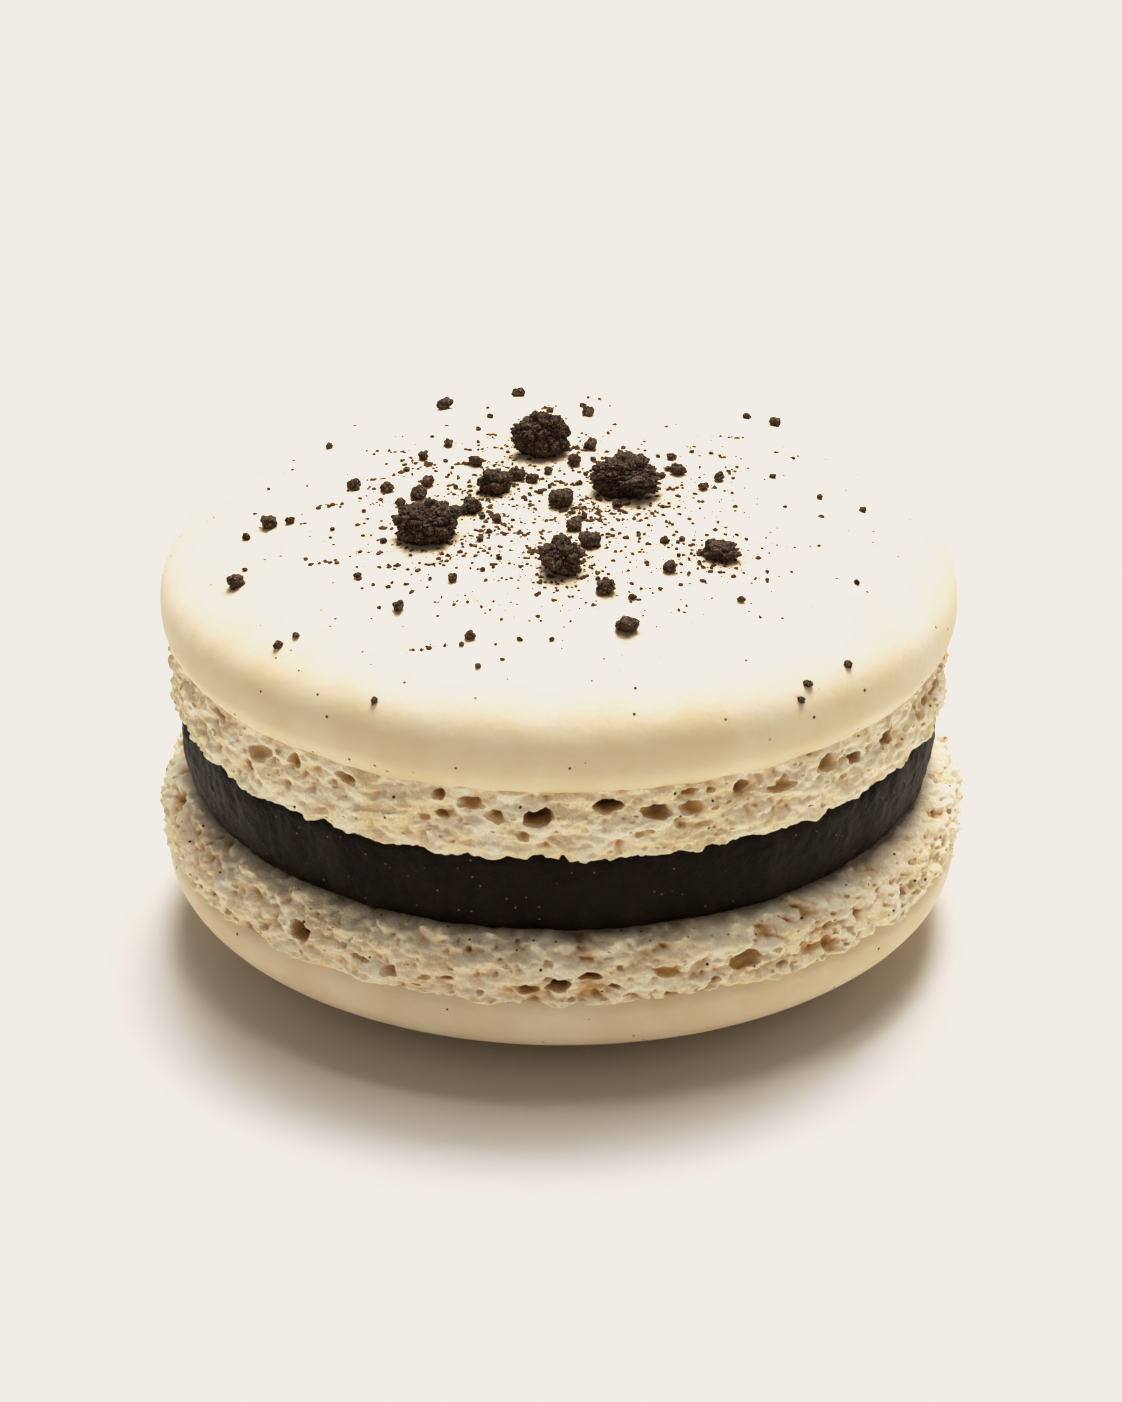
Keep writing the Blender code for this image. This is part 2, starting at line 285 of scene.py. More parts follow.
# Relief, as depth and length: broad crags, lumps, crumbs on them, pits, tooth and the ragged lip. The lean is
# how much of it also stands up from the foot, or hangs from it, at the lip.
LOWER_RELIEF = {
    "lean": 0.7,
    "crag": (0.40 * MM, 2.2 * MM),
    "lump": (0.52 * MM, 1.1 * MM),
    "crumb": (0.22 * MM, 0.5 * MM),
    "pit": (0.60 * MM, 0.42 * MM),
    "tooth": (0.05 * MM, 0.25 * MM),
    "lip": (0.16 * MM, 1.2 * MM),
}
RELIEF_FLATNESS = 1.6
CRAG_FRACTAL = (1.0, 2.0, 3)
LUMP_LEVEL = 0.5
PIT_THRESHOLD = 0.18
LIP_FRACTAL = (1.0, 2.2, 3)
LIP_ENDS = 0.3
LEAN_ENDS = 0.6

# Burst bubbles that show: degrees round from the front, then height, width, tallness and depth in mm
LOWER_PORES = (
    (-39.1, 8.0, 1.5, 1.2, 1.3),
    (-4.8, 7.2, 1.6, 0.75, 0.9),
    (-0.7, 7.4, 1.3, 0.75, 1.0),
    (3.6, 7.9, 1.5, 0.5, 0.8),
    (7.0, 7.3, 0.7, 0.35, 1.0),
    (-16.1, 7.4, 1.0, 0.35, 0.5),
    (-20.5, 6.7, 0.6, 0.35, 0.6),
    (-11.2, 6.9, 0.5, 0.35, 0.6),
    (9.1, 6.7, 0.8, 0.3, 0.5),
    (14.1, 7.9, 1.8, 0.6, 0.6),
    (21.1, 6.9, 0.9, 0.5, 0.6),
    (25.9, 7.7, 2.1, 1.1, 0.6),
    (31.5, 6.9, 0.8, 0.4, 0.5),
    (39.8, 7.0, 0.8, 1.0, 0.5),
    (-24.1, 7.3, 1.0, 0.8, 0.5),
    (-28.8, 7.6, 1.1, 0.4, 0.4),
    (-46.8, 6.8, 0.5, 0.4, 0.4),
    (-54.0, 6.9, 0.6, 0.5, 0.5),
)

# More of them by a rule: how many, width in mm, share of the foot's height, and the smallest angle from the
# front. The large ones keep clear of the front, where those that show are placed.
LOWER_SCATTER = (
    (60, (0.6, 1.4), (0.65, 0.95), 58),
    (170, (0.3, 0.75), (0.25, 0.96), 0),
    (300, (0.18, 0.4), (0.10, 0.96), 0),
)
BUBBLE_TALLNESS = (0.4, 0.8)
BUBBLE_DEPTH = (0.35, 0.7)
BUBBLE_TILT = 0.25
BUBBLE_LUMPS = ((0.38, 1.1), (0.12, 3.1))
NOISE_SPAN = 90
COARSE_BUBBLE = 0.6 * MM
PORE_SHARP_ANGLE = 50
HOLLOW_FULL = 2.0 * MM
HOLLOW_STARTS = (0.06, 0.2)


def foot_outline(lip, widest, neck, level, low, high):
    """(radius, height) up the outside of a foot, from its lip at one height to its neck at the other."""
    points = []
    for row in range(FOOT_ROWS + 1):
        share = row / FOOT_ROWS
        away = share / level - 1 if share < level else (share - level) / (1 - level)
        start = lip if share < level else neck
        across = start + (widest - start) * math.sqrt(max(0.0, 1 - away * away))
        points.append((across, low + (high - low) * share))
    return points


def foot_shape(outline, relief, seed):
    """A closed ring with the outline on its outer side, worked into crags, lumps, pits and a ragged lip."""
    lip_height, neck_height = outline[0][1], outline[-1][1]
    inside = [(FOOT_INNER_RADIUS, neck_height), (FOOT_INNER_RADIUS, lip_height)]
    shape = spun(outline + inside, FOOT_SEGMENTS)
    offset = Vector((seed, seed / 3, 0.0))
    for vertex in shape.verts:
        across = Vector((vertex.co.x, vertex.co.y, 0.0))
        if across.length < FOOT_INNER_RADIUS + SMOOTH_INSIDE:
            continue
        place = Vector((vertex.co.x, vertex.co.y, RELIEF_FLATNESS * vertex.co.z))
        depth, length = relief["crag"]
        push = depth * noise.fractal(place / length + offset, *CRAG_FRACTAL)
        for kind in ("lump", "crumb"):
            depth, length = relief[kind]
            push += depth * (LUMP_LEVEL - noise.voronoi(place / length + offset)[0][0])
        depth, length = relief["pit"]
        push -= depth * max(0.0, noise.noise(vertex.co / length + 2 * offset) - PIT_THRESHOLD)
        depth, length = relief["tooth"]
        push += depth * noise.noise(vertex.co / length)
        share = (vertex.co.z - lip_height) / (neck_height - lip_height)
        near_lip = max(0.0, 1 - share / LIP_ENDS)
        depth, length = relief["lip"]
        rise = depth * near_lip * noise.fractal(vertex.co / length + offset, *LIP_FRACTAL)
        rise -= relief["lean"] * push * max(0.0, 1 - share / LEAN_ENDS)
        vertex.co += across.normalized() * push
        vertex.co.z += rise if neck_height > lip_height else -rise
    return shape


def bubble(angle, height, width, tall, depth, radius, draw, collection):
    """A burst bubble, as a cutter: a squashed and slightly lumpy ball at the foot's surface."""
    shape = bmesh.new()
    bmesh.ops.create_icosphere(shape, subdivisions=3 if width > COARSE_BUBBLE else 2, radius=1.0)
    offset = Vector([draw.uniform(0, NOISE_SPAN) for _ in range(3)])
    for vertex in shape.verts:
        lumps = (swell * noise.noise(vertex.co * fineness + offset) for swell, fineness in BUBBLE_LUMPS)
        vertex.co *= 1 + sum(lumps)
    size = Matrix.Diagonal((width / 2, depth, tall / 2, 1.0))
    turn = Matrix.Rotation(math.radians(angle), 4, "Z")
    tilt = Matrix.Rotation(draw.uniform(-BUBBLE_TILT, BUBBLE_TILT), 4, "Y")
    out = Matrix.Translation((0.0, -radius, height))
    bmesh.ops.transform(shape, matrix=turn @ out @ tilt @ size, verts=shape.verts)
    mesh = bpy.data.meshes.new("bubble")
    shape.to_mesh(mesh)
    shape.free()
    cutter = bpy.data.objects.new("bubble", mesh)
    collection.objects.link(cutter)


def burst_bubbles(foot, shown, scattered, outline, seed):
    """Cuts the bubbles that show and the scattered ones, and notes how deep each point of the foot lies."""
    bubbles = bpy.data.collections.new("bubbles")
    bpy.context.scene.collection.children.link(bubbles)
    draw = random.Random(seed)
    lip_height, neck_height = outline[0][1], outline[-1][1]

    surface = kdtree.KDTree(len(foot.data.vertices))
    for vertex in foot.data.vertices:
        surface.insert(vertex.co, vertex.index)
    surface.balance()

    def radius_at(height):
        share = (height - lip_height) / (neck_height - lip_height)
        return outline[round(min(max(share, 0.0), 1.0) * FOOT_ROWS)][0]

    def rough_radius(angle, height):
        turn = math.radians(angle)
        radius = radius_at(height)
        nearest = surface.find((radius * math.sin(turn), -radius * math.cos(turn), height))[0]
        return math.hypot(nearest.x, nearest.y)

    taken = []
    for angle, height, width, tall, depth in ((row[0], *(size * MM for size in row[1:])) for row in shown):
        bubble(angle, height, width, tall, depth, rough_radius(angle, height), draw, bubbles)
        taken.append((angle, height, width))
    for count, widths, span, least in scattered:
        for _ in range(count):
            angle = draw.uniform(-180, 180)
            height = lip_height + (neck_height - lip_height) * draw.uniform(*span)
            width = draw.uniform(*widths) * MM
            tall = width * draw.uniform(*BUBBLE_TALLNESS)
            depth = width * draw.uniform(*BUBBLE_DEPTH)
            gaps = [
                math.hypot(math.radians(angle - other) * LOWER_FOOT_RADIUS, height - level) - breadth / 2
                for other, level, breadth in taken
            ]
            if abs(angle) < least or min(gaps) < width / 2:
                continue
            bubble(angle, height, width, tall, depth, rough_radius(angle, height), draw, bubbles)
    cut = foot.modifiers.new("bubbles", "BOOLEAN")
    cut.operation = "DIFFERENCE"
    cut.operand_type = "COLLECTION"
    cut.collection = bubbles
    cut.solver = "MANIFOLD"
    bpy.context.view_layer.update()
    graph = bpy.context.evaluated_depsgraph_get()
    mesh = bpy.data.meshes.new_from_object(foot.evaluated_get(graph))
    foot.modifiers.clear()
    foot.data = mesh
    for cutter in list(bubbles.objects):
        bpy.data.objects.remove(cutter)
    bpy.data.collections.remove(bubbles)
    # How deep each point lies below the foot's outline, which the material turns into painted glow and
    # painted shade
    depths = []
    for vertex in mesh.vertices:
        gap = radius_at(vertex.co.z) - math.hypot(vertex.co.x, vertex.co.y)
        share = (vertex.co.z - lip_height) / (neck_height - lip_height)
        from_lip = (share - HOLLOW_STARTS[0]) / (HOLLOW_STARTS[1] - HOLLOW_STARTS[0])
        depths.append(min(max(gap / HOLLOW_FULL, 0.0), 1.0) * min(max(from_lip, 0.0), 1.0))
    mesh.attributes.new("hollow", "FLOAT", "POINT").data.foreach_set("value", depths)
    mesh.set_sharp_from_angle(angle=math.radians(PORE_SHARP_ANGLE))


def meringue_foot():
    """Open baked meringue: chalky and matt, near white on the crags, partly with painted highlights, amber in
    the bubbles, partly browning and partly painted glow, with painted shade deep in them, and browner along
    the lip where the filling touches it, partly stain and partly painted shade."""
    material = new_material("porous meringue foot")
    place = add(material, "TexCoord", {}, "Object")
    mottle = add(material, "TexNoise", {"Vector": place, "Scale": 1 / FOOT_MOTTLE, "Detail": 4.0})
    grain = add(material, "TexNoise", {"Vector": place, "Scale": 1 / FOOT_GRAIN, "Detail": 2.0})
    pale, warm, white = (colour(code) for code in FOOT_COLOURS)
    patches = add(material, "MapRange", {"Value": mottle, 1: FOOT_PATCHES[0], 2: FOOT_PATCHES[1]})
    base = add(material, "Mix", {"data_type": "RGBA", 0: patches, 6: pale, 7: warm})
    # Near white where the fine grain runs high, as the bump does: partly chalky grain, partly painted
    # highlight
    chalky_and_highlit = add(material, "MapRange", {"Value": grain, 1: CHALKY_GRAINS_AND_HIGHLIGHTS[0], 2: CHALKY_GRAINS_AND_HIGHLIGHTS[1]})
    base = add(material, "Mix", {"data_type": "RGBA", 0: chalky_and_highlit, 6: base, 7: white})
    # Painted glow and painted shade in pores and crevices: amber in shallow hollows, partly real browning,
    # and brown painted shade deeper in
    hollow = add(material, "Attribute", {"attribute_name": "hollow"}, "Fac")
    amber_browning_and_glow, brown = (colour(code) for code in PORE_BROWNING_AND_SHADE_COLOURS)
    shallow_browning_and_glow = add(material, "MapRange", {"Value": hollow, 1: SHALLOW_PORE_BROWNING_AND_GLOW[0], 2: SHALLOW_PORE_BROWNING_AND_GLOW[1]})
    base = add(material, "Mix", {"data_type": "RGBA", 0: shallow_browning_and_glow, 6: base, 7: amber_browning_and_glow})
    deep_painted_shade = add(material, "MapRange", {"Value": hollow, 1: DEEP_PORE_SHADE[0], 2: DEEP_PORE_SHADE[1]})
    base = add(material, "Mix", {"data_type": "RGBA", 0: deep_painted_shade, 6: base, 7: brown})
    # Browner inwards towards the filling: partly cocoa stain, partly painted shade at the join
    flat = add(material, "VectorMath", {"operation": "MULTIPLY", 0: place, 1: (1.0, 1.0, 0.0)}, "Vector")
    radius = add(material, "VectorMath", {"operation": "LENGTH", 0: flat}, "Value")
    by_filling = add(material, "MapRange", {"Value": radius, 1: STAIN_AND_SHADE_RADIUS[0], 2: STAIN_AND_SHADE_RADIUS[1]})
    stain_and_shade = add(material, "Math", {"operation": "MULTIPLY", 0: by_filling, 1: mottle})
    base = add(material, "Mix", {"data_type": "RGBA", 0: stain_and_shade, 6: base, 7: colour(STAIN_AND_SHADE_COLOUR)})
    base = specks_of_cookie(material, place, base)
    height = add(material, "Math", {"operation": "ADD", 0: mottle, 1: grain})
    normal = add(material, "Bump", {"Height": height, "Strength": 0.8, "Distance": 0.09 * MM})
    foot_sockets = {"Base Color": base, "Normal": normal, "Roughness": 0.7, "Specular IOR Level": 0.4}
    soft_sockets = {"Subsurface Weight": 0.2, "Subsurface Radius": SOFT_MERINGUE, "Subsurface Scale": MM / 2}
    shader = add(material, "BsdfPrincipled", foot_sockets | soft_sockets)
    add(material, "OutputMaterial", {"Surface": shader})
    return material


porous = meringue_foot()
lower_outline = foot_outline(
    LOWER_FOOT_LIP, LOWER_FOOT_RADIUS, LOWER_FOOT_NECK, LOWER_FOOT_WIDEST, LOWER_FOOT_TOP, LOWER_NECK_HEIGHT
)
lower_foot = piece("lower_foot", foot_shape(lower_outline, LOWER_RELIEF, LOWER_FOOT_SEED), porous)
burst_bubbles(lower_foot, LOWER_PORES, LOWER_SCATTER, lower_outline, LOWER_BUBBLE_SEED)
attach(lower_foot, "root")
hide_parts("bottom_shell")

# Filling
# Butter cream stiff with ground dark cookies, piped in and pressed out to the edge as the shells are closed,
# so its side bulges, is dragged into faint upright creases, and glistens a little on its fine grain.
FILLING_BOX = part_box("filling")
FILLING_RADIUS = 21.55 * MM
FILLING_TUCK = 0.85 * MM
FILLING_ROUNDING = 0.3 * MM
TUCK_POWER = 2
ROUNDING_POWER = 8
FILLING_SEGMENTS = 960
FILLING_ROWS = 44
FILLING_OVERLAP = 0.3 * MM
FILLING_LOW = FILLING_BOX[0][2] - FILLING_OVERLAP
FILLING_TOP = FILLING_BOX[1][2] + FILLING_OVERLAP
CREASE = (0.20 * MM, 2.4 * MM)
CREASE_UPRIGHTNESS = 0.3
CREASE_FRACTAL = (1.0, 2.0, 4)
FILLING_LUMP = (0.07 * MM, 0.6 * MM)
FILLING_GRIT = (0.03 * MM, 0.22 * MM)
LAYERS_SHIFT = -0.2 * MM
FILLING_COLOURS = ("0B0805", "18110B")
FILLING_SHEEN = "FFEBD6"
FILLING_GRAIN = 0.18 * MM
FILLING_SMEAR = 1.5 * MM
FILLING_PATCHES = (0.35, 0.70)
COOKIE_GLINT = "7A6450"
GLINT_SPACING = 0.55 * MM
GLINT_EDGE = (0.14, 0.06)
GLINTING_CELLS = (0.55, 0.60)


def cookie_filling():
    """Dark cocoa cream with ground cookie: satin black-brown with fine grit that catches the light."""
    material = new_material("ground cookie filling")
    place = add(material, "TexCoord", {}, "Object")
    grain = add(material, "TexNoise", {"Vector": place, "Scale": 1 / FILLING_GRAIN, "Detail": 3.0})
    smear = add(material, "TexNoise", {"Vector": place, "Scale": 1 / FILLING_SMEAR, "Detail": 3.0})
    shade = add(material, "MapRange", {"Value": smear, 1: FILLING_PATCHES[0], 2: FILLING_PATCHES[1]})
    black, brown = (colour(code) for code in FILLING_COLOURS)
    base = add(material, "Mix", {"data_type": "RGBA", 0: shade, 6: black, 7: brown})
    cells = add(material, "TexVoronoi", {"Vector": place, "Scale": 1 / GLINT_SPACING}, "Distance")
    near = add(material, "MapRange", {"Value": cells, 1: GLINT_EDGE[0], 2: GLINT_EDGE[1]})
    lottery = cells.node.outputs["Color"]
    some = add(material, "MapRange", {"Value": lottery, 1: GLINTING_CELLS[0], 2: GLINTING_CELLS[1]})
    glints = add(material, "Math", {"operation": "MULTIPLY", 0: near, 1: some})
    base = add(material, "Mix", {"data_type": "RGBA", 0: glints, 6: base, 7: colour(COOKIE_GLINT)})
    height = add(material, "Math", {"operation": "ADD", 0: smear, 1: grain})
    normal = add(material, "Bump", {"Height": height, "Strength": 0.8, "Distance": 0.09 * MM})
    sheen_sockets = {"Specular IOR Level": 0.11, "Specular Tint": colour(FILLING_SHEEN)}
    sockets = {"Base Color": base, "Normal": normal, "Roughness": 0.55} | sheen_sockets
    shader = add(material, "BsdfPrincipled", sockets)
    add(material, "OutputMaterial", {"Surface": shader})
    return material


filling_profile = [(0.0, FILLING_TOP)]
for row in range(FILLING_ROWS + 1):
    share = 1 - row / FILLING_ROWS
    tucked = FILLING_TUCK * (1 - share) ** TUCK_POWER
    tucked += FILLING_ROUNDING * abs(2 * share - 1) ** ROUNDING_POWER
    filling_profile.append((FILLING_RADIUS - tucked, FILLING_LOW + (FILLING_TOP - FILLING_LOW) * share))
filling_shape = spun(filling_profile + [(0.0, FILLING_LOW)], FILLING_SEGMENTS)
for vertex in filling_shape.verts:
    across = Vector((vertex.co.x, vertex.co.y, 0.0))
    if across.length < FILLING_RADIUS / 2:
        continue
    upright = Vector((vertex.co.x, vertex.co.y, CREASE_UPRIGHTNESS * vertex.co.z))
    push = CREASE[0] * noise.fractal(upright / CREASE[1], *CREASE_FRACTAL)
    for depth, length in (FILLING_LUMP, FILLING_GRIT):
        push += depth * noise.noise(vertex.co / length)
    vertex.co += across.normalized() * push
bmesh.ops.translate(filling_shape, vec=(LAYERS_SHIFT, 0.0, 0.0), verts=filling_shape.verts)
filling_piece = piece("cookie_filling", filling_shape, cookie_filling())
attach(filling_piece, "root")
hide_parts("filling")

# Upper meringue shell, its foot
# The same frill the right way up: burst bubbles in a row under the skin's edge, and below them a smoother
# band that ends in a thin ragged lip where it was peeled off its paper.
UPPER_LIP_DROOP = 0.15 * MM
UPPER_LIP_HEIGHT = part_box("top_shell")[0][2] - UPPER_LIP_DROOP
UPPER_NECK_HEIGHT = 18.7 * MM
UPPER_FOOT_LIP = 21.55 * MM
UPPER_FOOT_RADIUS = 21.85 * MM
UPPER_FOOT_NECK = 21.5 * MM
UPPER_FOOT_WIDEST = 0.35
UPPER_FOOT_SEED = 41
UPPER_BUBBLE_SEED = 8
UPPER_RELIEF = {
    "lean": 0.2,
    "crag": (0.28 * MM, 2.4 * MM),
    "lump": (0.44 * MM, 1.3 * MM),
    "crumb": (0.17 * MM, 0.55 * MM),
    "pit": (0.52 * MM, 0.45 * MM),
    "tooth": (0.04 * MM, 0.25 * MM),
    "lip": (0.22 * MM, 1.3 * MM),
}
UPPER_PORES = (
    (6.9, 17.7, 1.7, 0.95, 1.5),
    (-2.9, 17.1, 1.8, 1.05, 1.5),
    (-12.4, 17.7, 1.6, 0.8, 0.8),
    (-17.0, 17.95, 0.8, 0.6, 0.6),
    (-8.9, 17.1, 1.1, 0.7, 0.8),
    (-16.6, 16.8, 0.8, 0.45, 0.6),
    (-31.3, 17.8, 1.4, 0.6, 0.7),
    (-40.6, 17.75, 0.85, 0.85, 0.7),
    (-47.7, 17.3, 2.2, 0.9, 0.45),
    (-59.0, 18.0, 1.3, 0.7, 0.7),
    (-26.8, 16.6, 2.6, 0.7, 0.35),
    (13.8, 17.1, 1.8, 0.95, 0.7),
    (18.9, 17.1, 1.6, 1.0, 0.7),
    (18.6, 18.0, 1.0, 0.45, 0.5),
    (26.4, 17.75, 1.2, 0.8, 0.8),
    (33.5, 17.6, 0.5, 0.45, 1.2),
    (33.0, 17.1, 1.9, 0.7, 0.5),
    (41.3, 17.55, 1.7, 1.15, 0.9),
    (47.2, 17.1, 1.2, 0.7, 0.6),
    (55.3, 17.2, 1.3, 1.1, 0.7),
    (68.5, 17.2, 1.1, 0.6, 0.7),
)
UPPER_SCATTER = (
    (60, (0.7, 1.8), (0.55, 0.92), 66),
    (140, (0.35, 0.85), (0.35, 0.94), 0),
    (260, (0.18, 0.4), (0.10, 0.96), 0),
)
upper_outline = foot_outline(
    UPPER_FOOT_LIP, UPPER_FOOT_RADIUS, UPPER_FOOT_NECK, UPPER_FOOT_WIDEST, UPPER_LIP_HEIGHT, UPPER_NECK_HEIGHT
)
upper_foot = piece("upper_foot", foot_shape(upper_outline, UPPER_RELIEF, UPPER_FOOT_SEED), porous)
burst_bubbles(upper_foot, UPPER_PORES, UPPER_SCATTER, upper_outline, UPPER_BUBBLE_SEED)
upper_foot.data.transform(Matrix.Translation((LAYERS_SHIFT, 0.0, 0.0)))
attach(upper_foot, "root")
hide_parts("top_shell")

# Upper meringue shell, its cap
# The same dried skin as underneath, domed and flat on top, lightly smudged by the crumbs that lie on it
# and with their painted shadow round them.
UPPER_CAP_RADIUS = 22.4 * MM
UPPER_CAP_LOW = 18.5 * MM
UPPER_CAP_TOP = 26.0 * MM
UPPER_CAP_TUCK = 0.75 * MM
UPPER_WIDEST = 1.5 * MM
UPPER_DOME_POWER = 2.7
UPPER_CAP_RINGS = 120
UPPER_CAP_SEED = 8
upper_dome = dome(
    UPPER_CAP_RADIUS,
    UPPER_CAP_TOP - UPPER_CAP_LOW,
    UPPER_DOME_POWER,
    UPPER_CAP_TUCK,
    UPPER_WIDEST,
    UPPER_CAP_RINGS,
)
upper_profile = [(across, UPPER_CAP_LOW + up) for across, up in upper_dome[:-1]]
upper_profile = [(0.0, UPPER_CAP_TOP)] + upper_profile[::-1] + [(0.0, UPPER_CAP_LOW)]
upper_cap_shape = spun(upper_profile, CAP_SEGMENTS)
uneven_cap(upper_cap_shape, UPPER_CAP_SEED, UPPER_CAP_LOW)
bmesh.ops.translate(upper_cap_shape, vec=(LAYERS_SHIFT, 0.0, 0.0), verts=upper_cap_shape.verts)
upper_cap = piece("upper_cap", upper_cap_shape, skin)
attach(upper_cap, "root")
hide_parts("top_shell")

# Large cookie crumbs
# Chocolate cookie broken by hand and dropped on the wet shell: black-brown, open and gritty where it broke.
# Across, back, width, depth and height in mm, and the turn in degrees.
LARGE_CRUMBS = (
    (-1.1, 5.9, 3.5, 3.1, 2.5, 10),
    (3.8, 0.4, 4.3, 3.4, 2.3, -12),
    (-7.2, -5.3, 4.0, 3.4, 2.3, 8),
    (0.1, -9.6, 2.7, 2.6, 2.0, 30),
    (-3.6, 0.5, 2.1, 1.9, 1.4, 20),
    (8.8, -7.5, 2.3, 1.8, 1.0, 5),
    (0.2, -1.5, 1.7, 1.4, 1.0, 40),
    (-4.9, -2.2, 1.3, 1.2, 0.9, 0),
    (3.6, -15.4, 1.2, 1.3, 0.8, 60),
    (2.5, -11.8, 1.1, 1.1, 0.8, 15),
    (-16.1, -2.0, 1.0, 1.0, 0.7, 0),
    (-17.6, -7.8, 1.0, 0.9, 0.7, 35),
)
CRUMB_DIVISIONS = 4
FINER_FROM = 1.7
FINEST_FROM = 2.5
CRUMB_SINK = 0.18
SMOOTH_ALL_OVER = 180

# A crumb's bulges and roughness, as swell and fineness, and its grains, as fineness and swell
CRUMB_BULGE = (0.45, 1.3)
CRUMB_ROUGHNESS = (0.05, 6)
GRAIN_WIDTH = 0.8
GRAIN_SWELLS = ((1.0, 0.46), (2.3, 0.24))
GRAIN_ROUNDING = 0.4
GRAIN_LEAST = 0.7
GRAIN_VARIETY = 4
GRAINED_AS_IF = 1.2
SEED_STEPS = (3.7, 1.3, 2.1)

# The tan is partly broken crumb and partly painted highlight on the grains
CRUMB_COLOURS = ("1C130D", "4E3B2D", "A98A6C")
CRUMB_GRAIN = 0.26 * MM
CRUMB_PATCHES = (0.38, 0.62)
CRUMB_GRIT = 0.09 * MM
TAN_GRAINS_AND_HIGHLIGHTS = (0.56, 0.72)
# How strong the painted shadow and smudge round a large crumb are, and how far they reach as a share of its
# width
SMUDGE_AND_SHADOW_STRENGTH = 0.8
SMUDGE_AND_SHADOW_REACH = 0.35
RIM_SHARE = 0.999


def cap_height(x, y):
    """Height of the upper cap's surface at a place, measured from the shell's own axis."""
    share = min(math.hypot(x, y) / UPPER_CAP_RADIUS, RIM_SHARE)
    rise = UPPER_CAP_TOP - UPPER_CAP_LOW - UPPER_WIDEST
    return UPPER_CAP_LOW + UPPER_WIDEST + rise * (1 - share**UPPER_DOME_POWER) ** (1 / UPPER_DOME_POWER)


def join(whole, part):
    """Moves one bmesh into another."""
    mesh = bpy.data.meshes.new("part")
    part.to_mesh(mesh)
    part.free()
    whole.from_mesh(mesh)
    bpy.data.meshes.remove(mesh)


def drop_crumb(shape, x, y, width, depth, height, turn, subdivisions, seed):
    """Adds one broken crumb to a bmesh: a lump of grains, sunk a little into the cap. Sizes are in mm."""
    lump = bmesh.new()
    bmesh.ops.create_icosphere(lump, subdivisions=subdivisions, radius=1.0)
    offset = Vector([seed * step for step in SEED_STEPS])
    grains = max(width, GRAINED_AS_IF) / GRAIN_WIDTH / 2
    for vertex in lump.verts:
        ray = vertex.co.normalized()
        reach = 1 + CRUMB_BULGE[0] * noise.noise(ray * CRUMB_BULGE[1] + offset)
        reach += CRUMB_ROUGHNESS[0] * noise.noise(ray * grains * CRUMB_ROUGHNESS[1] + offset)
        for fineness, swell in GRAIN_SWELLS:
            gaps, middles = noise.voronoi(ray * grains * fineness + offset)
            roundness = math.sqrt(min((gaps[1] - gaps[0]) / GRAIN_ROUNDING, 1.0))
            reach += swell * roundness * (GRAIN_LEAST + noise.noise(middles[0] * GRAIN_VARIETY))
        vertex.co = ray * reach
    sides = [[vertex.co[axis] for vertex in lump.verts] for axis in range(3)]
    low = Vector(min(side) for side in sides)
    high = Vector(max(side) for side in sides)
    for vertex, place in zip(lump.verts, [vertex.co - (low + high) / 2 for vertex in lump.verts]):
        vertex.co = Vector(place[axis] / (high[axis] - low[axis]) for axis in range(3))
    size = Matrix.Diagonal((width * MM, depth * MM, height * (1 + CRUMB_SINK) * MM, 1.0))
    lift = height * (1 - CRUMB_SINK) / 2 * MM
    place = Matrix.Translation((x * MM, y * MM, cap_height(x * MM, y * MM) + lift))
    matrix = place @ Matrix.Rotation(math.radians(turn), 4, "Z") @ size
    bmesh.ops.transform(lump, matrix=matrix, verts=lump.verts)
    join(shape, lump)


def broken_cookie():
    """Baked chocolate cookie: dry, matt and nearly black, with tan grains, partly broken crumb and partly
    painted highlights.
    """
    material = new_material("broken chocolate cookie")
    place = add(material, "TexCoord", {}, "Object")
    grain = add(material, "TexNoise", {"Vector": place, "Scale": 1 / CRUMB_GRAIN, "Detail": 4.0})
    grit = add(material, "TexNoise", {"Vector": place, "Scale": 1 / CRUMB_GRIT, "Detail": 2.0})
    black, brown, tan = (colour(code) for code in CRUMB_COLOURS)
    patches = add(material, "MapRange", {"Value": grain, 1: CRUMB_PATCHES[0], 2: CRUMB_PATCHES[1]})
    base = add(material, "Mix", {"data_type": "RGBA", 0: patches, 6: black, 7: brown})
    # Tan where the grit runs high, as the bump does: partly lighter crumb, partly painted highlight
    tan_grains_and_highlights = add(material, "MapRange", {"Value": grit, 1: TAN_GRAINS_AND_HIGHLIGHTS[0], 2: TAN_GRAINS_AND_HIGHLIGHTS[1]})
    base = add(material, "Mix", {"data_type": "RGBA", 0: tan_grains_and_highlights, 6: base, 7: tan})
    height = add(material, "Math", {"operation": "ADD", 0: grain, 1: grit})
    normal = add(material, "Bump", {"Height": height, "Strength": 1.0, "Distance": 0.14 * MM})
    sockets = {"Base Color": base, "Normal": normal, "Roughness": 0.8, "Specular IOR Level": 0.3}
    shader = add(material, "BsdfPrincipled", sockets)
    add(material, "OutputMaterial", {"Surface": shader})
    return material


cookie = broken_cookie()
large_shape = bmesh.new()
for number, (x, y, width, depth, height, turn) in enumerate(LARGE_CRUMBS):
    divisions = CRUMB_DIVISIONS + (width > FINER_FROM) + (width > FINEST_FROM)
    drop_crumb(large_shape, x, y, width, depth, height, turn, divisions, number + 1)
bmesh.ops.translate(large_shape, vec=(LAYERS_SHIFT, 0.0, 0.0), verts=large_shape.verts)
large_crumbs = piece("large_crumbs", large_shape, cookie, SMOOTH_ALL_OVER)
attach(large_crumbs, "root")
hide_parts("top_shell")

